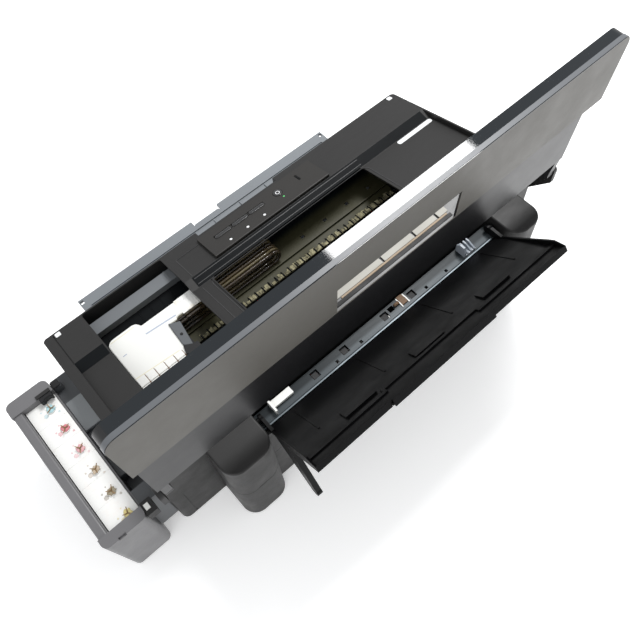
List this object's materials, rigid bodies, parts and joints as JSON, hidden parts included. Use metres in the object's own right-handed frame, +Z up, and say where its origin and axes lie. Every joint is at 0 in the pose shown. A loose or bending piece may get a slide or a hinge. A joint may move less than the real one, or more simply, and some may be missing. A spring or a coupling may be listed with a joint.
{
  "type": "direct-to-film printer",
  "caption": "Wide direct-to-film printer with its hinged cover open over the print bay, a side ink tank unit, a rear film support and a sliding output tray.",
  "frame": {"origin": "on the table under the centre of the model's box", "axes": "+Z up, +X towards the ink tank unit along the printer's width, the front faces -Y"},
  "size_m": [0.696, 0.4648, 0.4268],
  "materials": {
    "case_black": "fine satin grain",
    "gloss_black": "polished",
    "grey_plastic": "satin",
    "dark_grey": "satin",
    "white_plastic": "satin",
    "pale_print": "matt print",
    "button_black": "satin gloss",
    "lamp_green": "clear lamp",
    "steel": "galvanised",
    "rod_steel": "ground",
    "feed_silver": "silver",
    "rubber_dark": "matt",
    "rubber_brown": "matt",
    "foam": "open felt",
    "belt_rubber": "toothed",
    "tube_clear": "translucent",
    "tank_grey": "gloss",
    "tank_white": "milky",
    "gear_white": "acetal",
    "board_green": "solder mask",
    "zinc": "zinc plated",
    "strip_clear": "film",
    "plug_1": "soft",
    "plug_2": "soft",
    "plug_3": "soft",
    "plug_4": "soft",
    "plug_5": "soft",
    "plug_6": "soft"
  },
  "bodies": {
    "case": {"base_case": "case_black", "upper_housing": "case_black", "rear_housing": "case_black", "inlays": "pale_print", "feet": "rubber_dark", "rear_sockets": "gloss_black", "control_panel": "gloss_black", "case_ribs": "case_black", "feed_plate": "feed_silver", "separator_pad": "rubber_brown", "right_guide": "white_plastic", "main_frame": "steel", "front_rail": "steel", "guide_rod": "rod_steel", "timing_belt": "belt_rubber", "carriage_motor": "zinc", "encoder_strip": "strip_clear", "tube_tray": "case_black", "ink_tubes": "tube_clear", "platen": "case_black", "platen_foam": "foam", "film_motor": "zinc", "star_wheels": "dark_grey", "pinch_rollers": "dark_grey", "electronics": "board_green", "service_station": "white_plastic", "tank_case": "tank_grey", "tank_rail": "tank_grey", "ink_tanks": "tank_white", "tank_bridge": "dark_grey", "tank_latch": "case_black"},
    "cover": {"cover": "gloss_black", "cover_bead": "grey_plastic"},
    "paper_support": {"paper_support": "gloss_black"},
    "support_extension": {"support_extension": "case_black"},
    "feed_shaft": {"feed_shaft": "white_plastic", "feed_tyres": "rubber_dark"},
    "edge_guide": {"edge_guide": "white_plastic"},
    "output_tray": {"output_tray": "grey_plastic"},
    "carriage": {"carriage": "white_plastic", "ink_joints": "white_plastic", "print_head": "steel"},
    "drive_pulley": {"drive_pulley": "gear_white"},
    "idler_pulley": {"idler_pulley": "gear_white"},
    "film_roller": {"film_roller": "steel"},
    "eject_roller": {"eject_roller": "rubber_dark"},
    "idler_gear": {"idler_gear": "gear_white"},
    "motor_pinion": {"motor_pinion": "gear_white"},
    "cap_unit": {"cap_unit": "rubber_dark"},
    "button_right": {"button_right": "button_black"},
    "button_middle": {"button_middle": "button_black"},
    "button_left": {"button_left": "button_black"},
    "power_button": {"power_button": "button_black"},
    "latch_button": {"latch_button": "white_plastic"},
    "tank_plug_1": {"tank_plug_1": "plug_1"},
    "tank_plug_2": {"tank_plug_2": "plug_2"},
    "tank_plug_3": {"tank_plug_3": "plug_3"},
    "tank_plug_4": {"tank_plug_4": "plug_4"},
    "tank_plug_5": {"tank_plug_5": "plug_5"},
    "tank_plug_6": {"tank_plug_6": "plug_6"}
  },
  "joints": [
    {"name": "cover_hinge", "type": "hinge", "parent": "case", "child": "cover", "pos_m": [-0.04, 0.12861, 0.2038], "axis": [1, 0, 0], "range_deg": [0, 106.8]},
    {"name": "support_hinge", "type": "hinge", "parent": "case", "child": "paper_support", "pos_m": [-0.04, 0.12661, 0.173], "axis": [1, 0, 0], "range_deg": [0, 44]},
    {"name": "extension_slide", "type": "slide", "parent": "paper_support", "child": "support_extension", "axis": [0, 0.766, 0.6428], "range_m": [0, 0.06]},
    {"name": "tray_slide", "type": "slide", "parent": "case", "child": "output_tray", "axis": [0, -1, 0], "range_m": [-0.074, 0.06]},
    {"name": "edge_guide_slide", "type": "slide", "parent": "case", "child": "edge_guide", "axis": [1, 0, 0], "range_m": [-0.0255, 0.093]},
    {"name": "feed_shaft_spin", "type": "hinge", "parent": "case", "child": "feed_shaft", "pos_m": [-0.04, 0.12511, 0.15], "axis": [1, 0, 0], "continuous": true},
    {"name": "carriage_slide", "type": "slide", "parent": "case", "child": "carriage", "axis": [1, 0, 0], "range_m": [-0.385, 0], "deforming": ["ink_tubes"]},
    {"name": "drive_pulley_spin", "type": "hinge", "parent": "case", "child": "drive_pulley", "pos_m": [0.228, 0.03961, 0.121], "axis": [0, 0, 1], "continuous": true},
    {"name": "idler_pulley_spin", "type": "hinge", "parent": "case", "child": "idler_pulley", "pos_m": [-0.308, 0.03961, 0.121], "axis": [0, 0, 1], "continuous": true},
    {"name": "film_roller_spin", "type": "hinge", "parent": "case", "child": "film_roller", "pos_m": [-0.04, 0.03561, 0.086], "axis": [1, 0, 0], "continuous": true},
    {"name": "idler_gear_spin", "type": "hinge", "parent": "case", "child": "idler_gear", "pos_m": [-0.334, -0.00539, 0.086], "axis": [1, 0, 0], "continuous": true},
    {"name": "eject_roller_spin", "type": "hinge", "parent": "case", "child": "eject_roller", "pos_m": [-0.04, -0.04239, 0.086], "axis": [1, 0, 0], "continuous": true},
    {"name": "motor_pinion_spin", "type": "hinge", "parent": "case", "child": "motor_pinion", "pos_m": [-0.334, -0.00539, 0.116], "axis": [1, 0, 0], "continuous": true},
    {"name": "cap_lift", "type": "slide", "parent": "case", "child": "cap_unit", "axis": [0, 0, 1], "range_m": [-0.005, 0], "stiffness_N_per_m": 300, "springref_m": 0.003},
    {"name": "button_right_press", "type": "slide", "parent": "case", "child": "button_right", "axis": [0, -0.2288, 0.9735], "range_m": [-0.0012, 0], "stiffness_N_per_m": 400, "springref_m": 0.0005},
    {"name": "button_middle_press", "type": "slide", "parent": "case", "child": "button_middle", "axis": [0, -0.2288, 0.9735], "range_m": [-0.0012, 0], "stiffness_N_per_m": 400, "springref_m": 0.0005},
    {"name": "button_left_press", "type": "slide", "parent": "case", "child": "button_left", "axis": [0, -0.2288, 0.9735], "range_m": [-0.0012, 0], "stiffness_N_per_m": 400, "springref_m": 0.0005},
    {"name": "power_button_press", "type": "slide", "parent": "case", "child": "power_button", "axis": [0, -0.2288, 0.9735], "range_m": [-0.0012, 0], "stiffness_N_per_m": 400, "springref_m": 0.0005},
    {"name": "latch_button_press", "type": "slide", "parent": "case", "child": "latch_button", "axis": [0, 0, 1], "range_m": [-0.002, 0], "stiffness_N_per_m": 300, "springref_m": 0.001},
    {"name": "tank_plug_1_lift", "type": "slide", "parent": "case", "child": "tank_plug_1", "axis": [0, 0, 1], "range_m": [0, 0.014]},
    {"name": "tank_plug_2_lift", "type": "slide", "parent": "case", "child": "tank_plug_2", "axis": [0, 0, 1], "range_m": [0, 0.014]},
    {"name": "tank_plug_3_lift", "type": "slide", "parent": "case", "child": "tank_plug_3", "axis": [0, 0, 1], "range_m": [0, 0.014]},
    {"name": "tank_plug_4_lift", "type": "slide", "parent": "case", "child": "tank_plug_4", "axis": [0, 0, 1], "range_m": [0, 0.014]},
    {"name": "tank_plug_5_lift", "type": "slide", "parent": "case", "child": "tank_plug_5", "axis": [0, 0, 1], "range_m": [0, 0.014]},
    {"name": "tank_plug_6_lift", "type": "slide", "parent": "case", "child": "tank_plug_6", "axis": [0, 0, 1], "range_m": [0, 0.014]}
  ],
  "couplings": [
    {"joint": "drive_pulley_spin", "follows": "carriage_slide", "rad_per_m": 116.28},
    {"joint": "idler_pulley_spin", "follows": "carriage_slide", "rad_per_m": 116.28},
    {"joint": "idler_gear_spin", "follows": "film_roller_spin", "ratio": -0.78261},
    {"joint": "eject_roller_spin", "follows": "film_roller_spin", "ratio": 1.2857},
    {"joint": "motor_pinion_spin", "follows": "film_roller_spin", "ratio": 2.5714}
  ]
}
